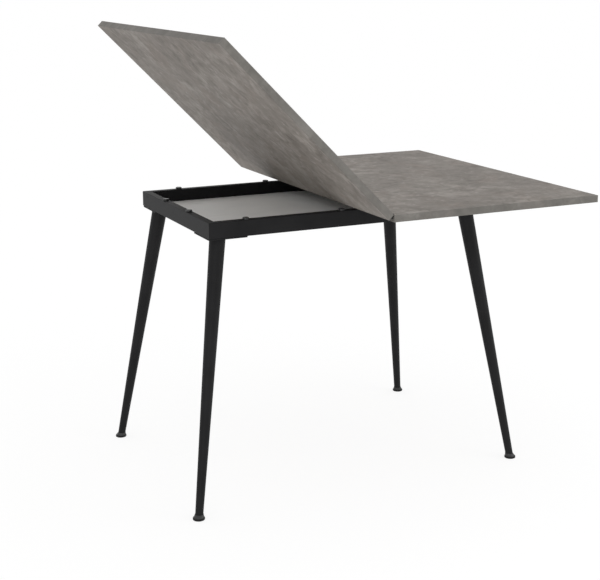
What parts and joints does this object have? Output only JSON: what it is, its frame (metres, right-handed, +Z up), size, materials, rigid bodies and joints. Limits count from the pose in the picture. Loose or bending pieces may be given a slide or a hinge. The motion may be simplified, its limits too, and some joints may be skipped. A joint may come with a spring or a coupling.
{
  "type": "swivel flip-top kitchen table",
  "caption": "Kitchen table with a book-folding laminate top that swivels on a tray-shaped steel frame storing cutlery, on splayed tapered legs.",
  "frame": {"origin": "bottom centre of the whole table's box as stored, on the floor; the middle of the leg frame lies 65 mm from it towards -X", "axes": "+Z up; +Y along the fold line between the leaves, towards the back; +X from the fold line towards the free edge of the base leaf"},
  "size_m": [1.071, 0.9, 1.1655],
  "materials": {
    "laminate": "matt concrete-look melamine on both faces of particle board",
    "edging": "matching grey edge strip, matt",
    "frame_coat": "fine-textured black powder coat on steel",
    "tray_floor": "pale grey lacquered fibreboard, matt",
    "foot_plastic": "dark moulded plastic, black at the rim",
    "glide_plastic": "black nylon",
    "bush_nylon": "natural nylon",
    "black_steel": "blackened steel, satin",
    "zinc_steel": "bright zinc plate"
  },
  "bodies": {
    "frame": {"back_floor_ledge": "frame_coat", "back_left_foot": "foot_plastic", "back_left_leg": "frame_coat", "back_left_leg_plate": "frame_coat", "back_rail": "frame_coat", "back_right_foot": "foot_plastic", "back_right_leg": "frame_coat", "back_right_leg_plate": "frame_coat", "front_floor_ledge": "frame_coat", "front_left_foot": "foot_plastic", "front_left_leg": "frame_coat", "front_left_leg_plate": "frame_coat", "front_rail": "frame_coat", "front_right_foot": "foot_plastic", "front_right_leg": "frame_coat", "front_right_leg_plate": "frame_coat", "glide_pads": "glide_plastic", "left_floor_ledge": "frame_coat", "left_rail": "frame_coat", "leg_screws": "black_steel", "leg_weld_nuts": "zinc_steel", "pivot_beam": "frame_coat", "pivot_bush": "bush_nylon", "right_floor_ledge": "frame_coat", "right_rail": "frame_coat", "storage_floor": "tray_floor", "swivel_stop_stud": "zinc_steel"},
    "swivel_top": {"back_hinge_base_plate": "black_steel", "base_hinge_screws": "black_steel", "base_leaf": "laminate", "base_leaf_edging": "edging", "front_hinge_base_plate": "black_steel", "middle_hinge_base_plate": "black_steel", "pivot_lock_nut": "zinc_steel", "pivot_pin": "zinc_steel", "pivot_plate": "zinc_steel", "pivot_plate_screws": "zinc_steel", "pivot_washer": "zinc_steel"},
    "flip_top": {"back_hinge_flip_plate": "black_steel", "back_hinge_pin": "black_steel", "flip_hinge_screws": "black_steel", "flip_leaf": "laminate", "flip_leaf_edging": "edging", "front_hinge_flip_plate": "black_steel", "front_hinge_pin": "black_steel", "middle_hinge_flip_plate": "black_steel", "middle_hinge_pin": "black_steel"}
  },
  "joints": [
    {"name": "top_swivel", "type": "hinge", "parent": "frame", "child": "swivel_top", "pos_m": [0.08523, 0.15025, 0.718], "axis": [0, 0, 1], "range_deg": [-90, 0]},
    {"name": "leaf_flip", "type": "hinge", "parent": "swivel_top", "child": "flip_top", "pos_m": [-0.06502, 0, 0.7415], "axis": [0, 1, 0], "range_deg": [-45, 135]}
  ]
}
